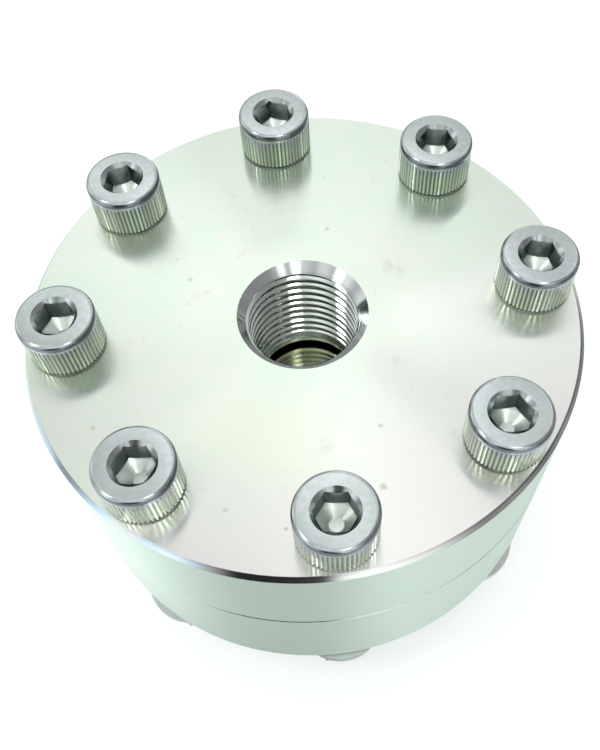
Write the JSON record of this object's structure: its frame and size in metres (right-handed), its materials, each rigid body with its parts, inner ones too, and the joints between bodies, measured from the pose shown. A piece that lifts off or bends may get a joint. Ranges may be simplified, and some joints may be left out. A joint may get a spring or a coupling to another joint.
{
  "type": "gauge diaphragm seal",
  "caption": "Round bolted steel diaphragm seal with a threaded gauge port above, a threaded process port below and a corrugated foil clamped between its housings.",
  "frame": {"origin": "on the axis of the two ports, in the plane that the eight screw ends stand on", "axes": "+Z along the port axis, from the process side up to the gauge side; +X through the first screw"},
  "size_m": [0.097, 0.097, 0.068],
  "materials": {
    "housing_steel": "fine turned stainless steel",
    "screw_steel": "polished stainless steel, knurled side",
    "washer_steel": "stamped stainless steel",
    "nut_steel": "machined stainless steel",
    "foil_steel": "bright rolled stainless foil",
    "seal_plastic": "plain fluoroplastic"
  },
  "bodies": {
    "root": {"upper_housing": "housing_steel", "lower_housing": "housing_steel", "diaphragm": "foil_steel", "seal_ring": "seal_plastic", "cap_screw_1": "screw_steel", "cap_screw_2": "screw_steel", "cap_screw_3": "screw_steel", "cap_screw_4": "screw_steel", "cap_screw_5": "screw_steel", "cap_screw_6": "screw_steel", "cap_screw_7": "screw_steel", "cap_screw_8": "screw_steel", "washer_1": "washer_steel", "washer_2": "washer_steel", "washer_3": "washer_steel", "washer_4": "washer_steel", "washer_5": "washer_steel", "washer_6": "washer_steel", "washer_7": "washer_steel", "washer_8": "washer_steel", "hex_nut_1": "nut_steel", "hex_nut_2": "nut_steel", "hex_nut_3": "nut_steel", "hex_nut_4": "nut_steel", "hex_nut_5": "nut_steel", "hex_nut_6": "nut_steel", "hex_nut_7": "nut_steel", "hex_nut_8": "nut_steel"}
  },
  "joints": []
}
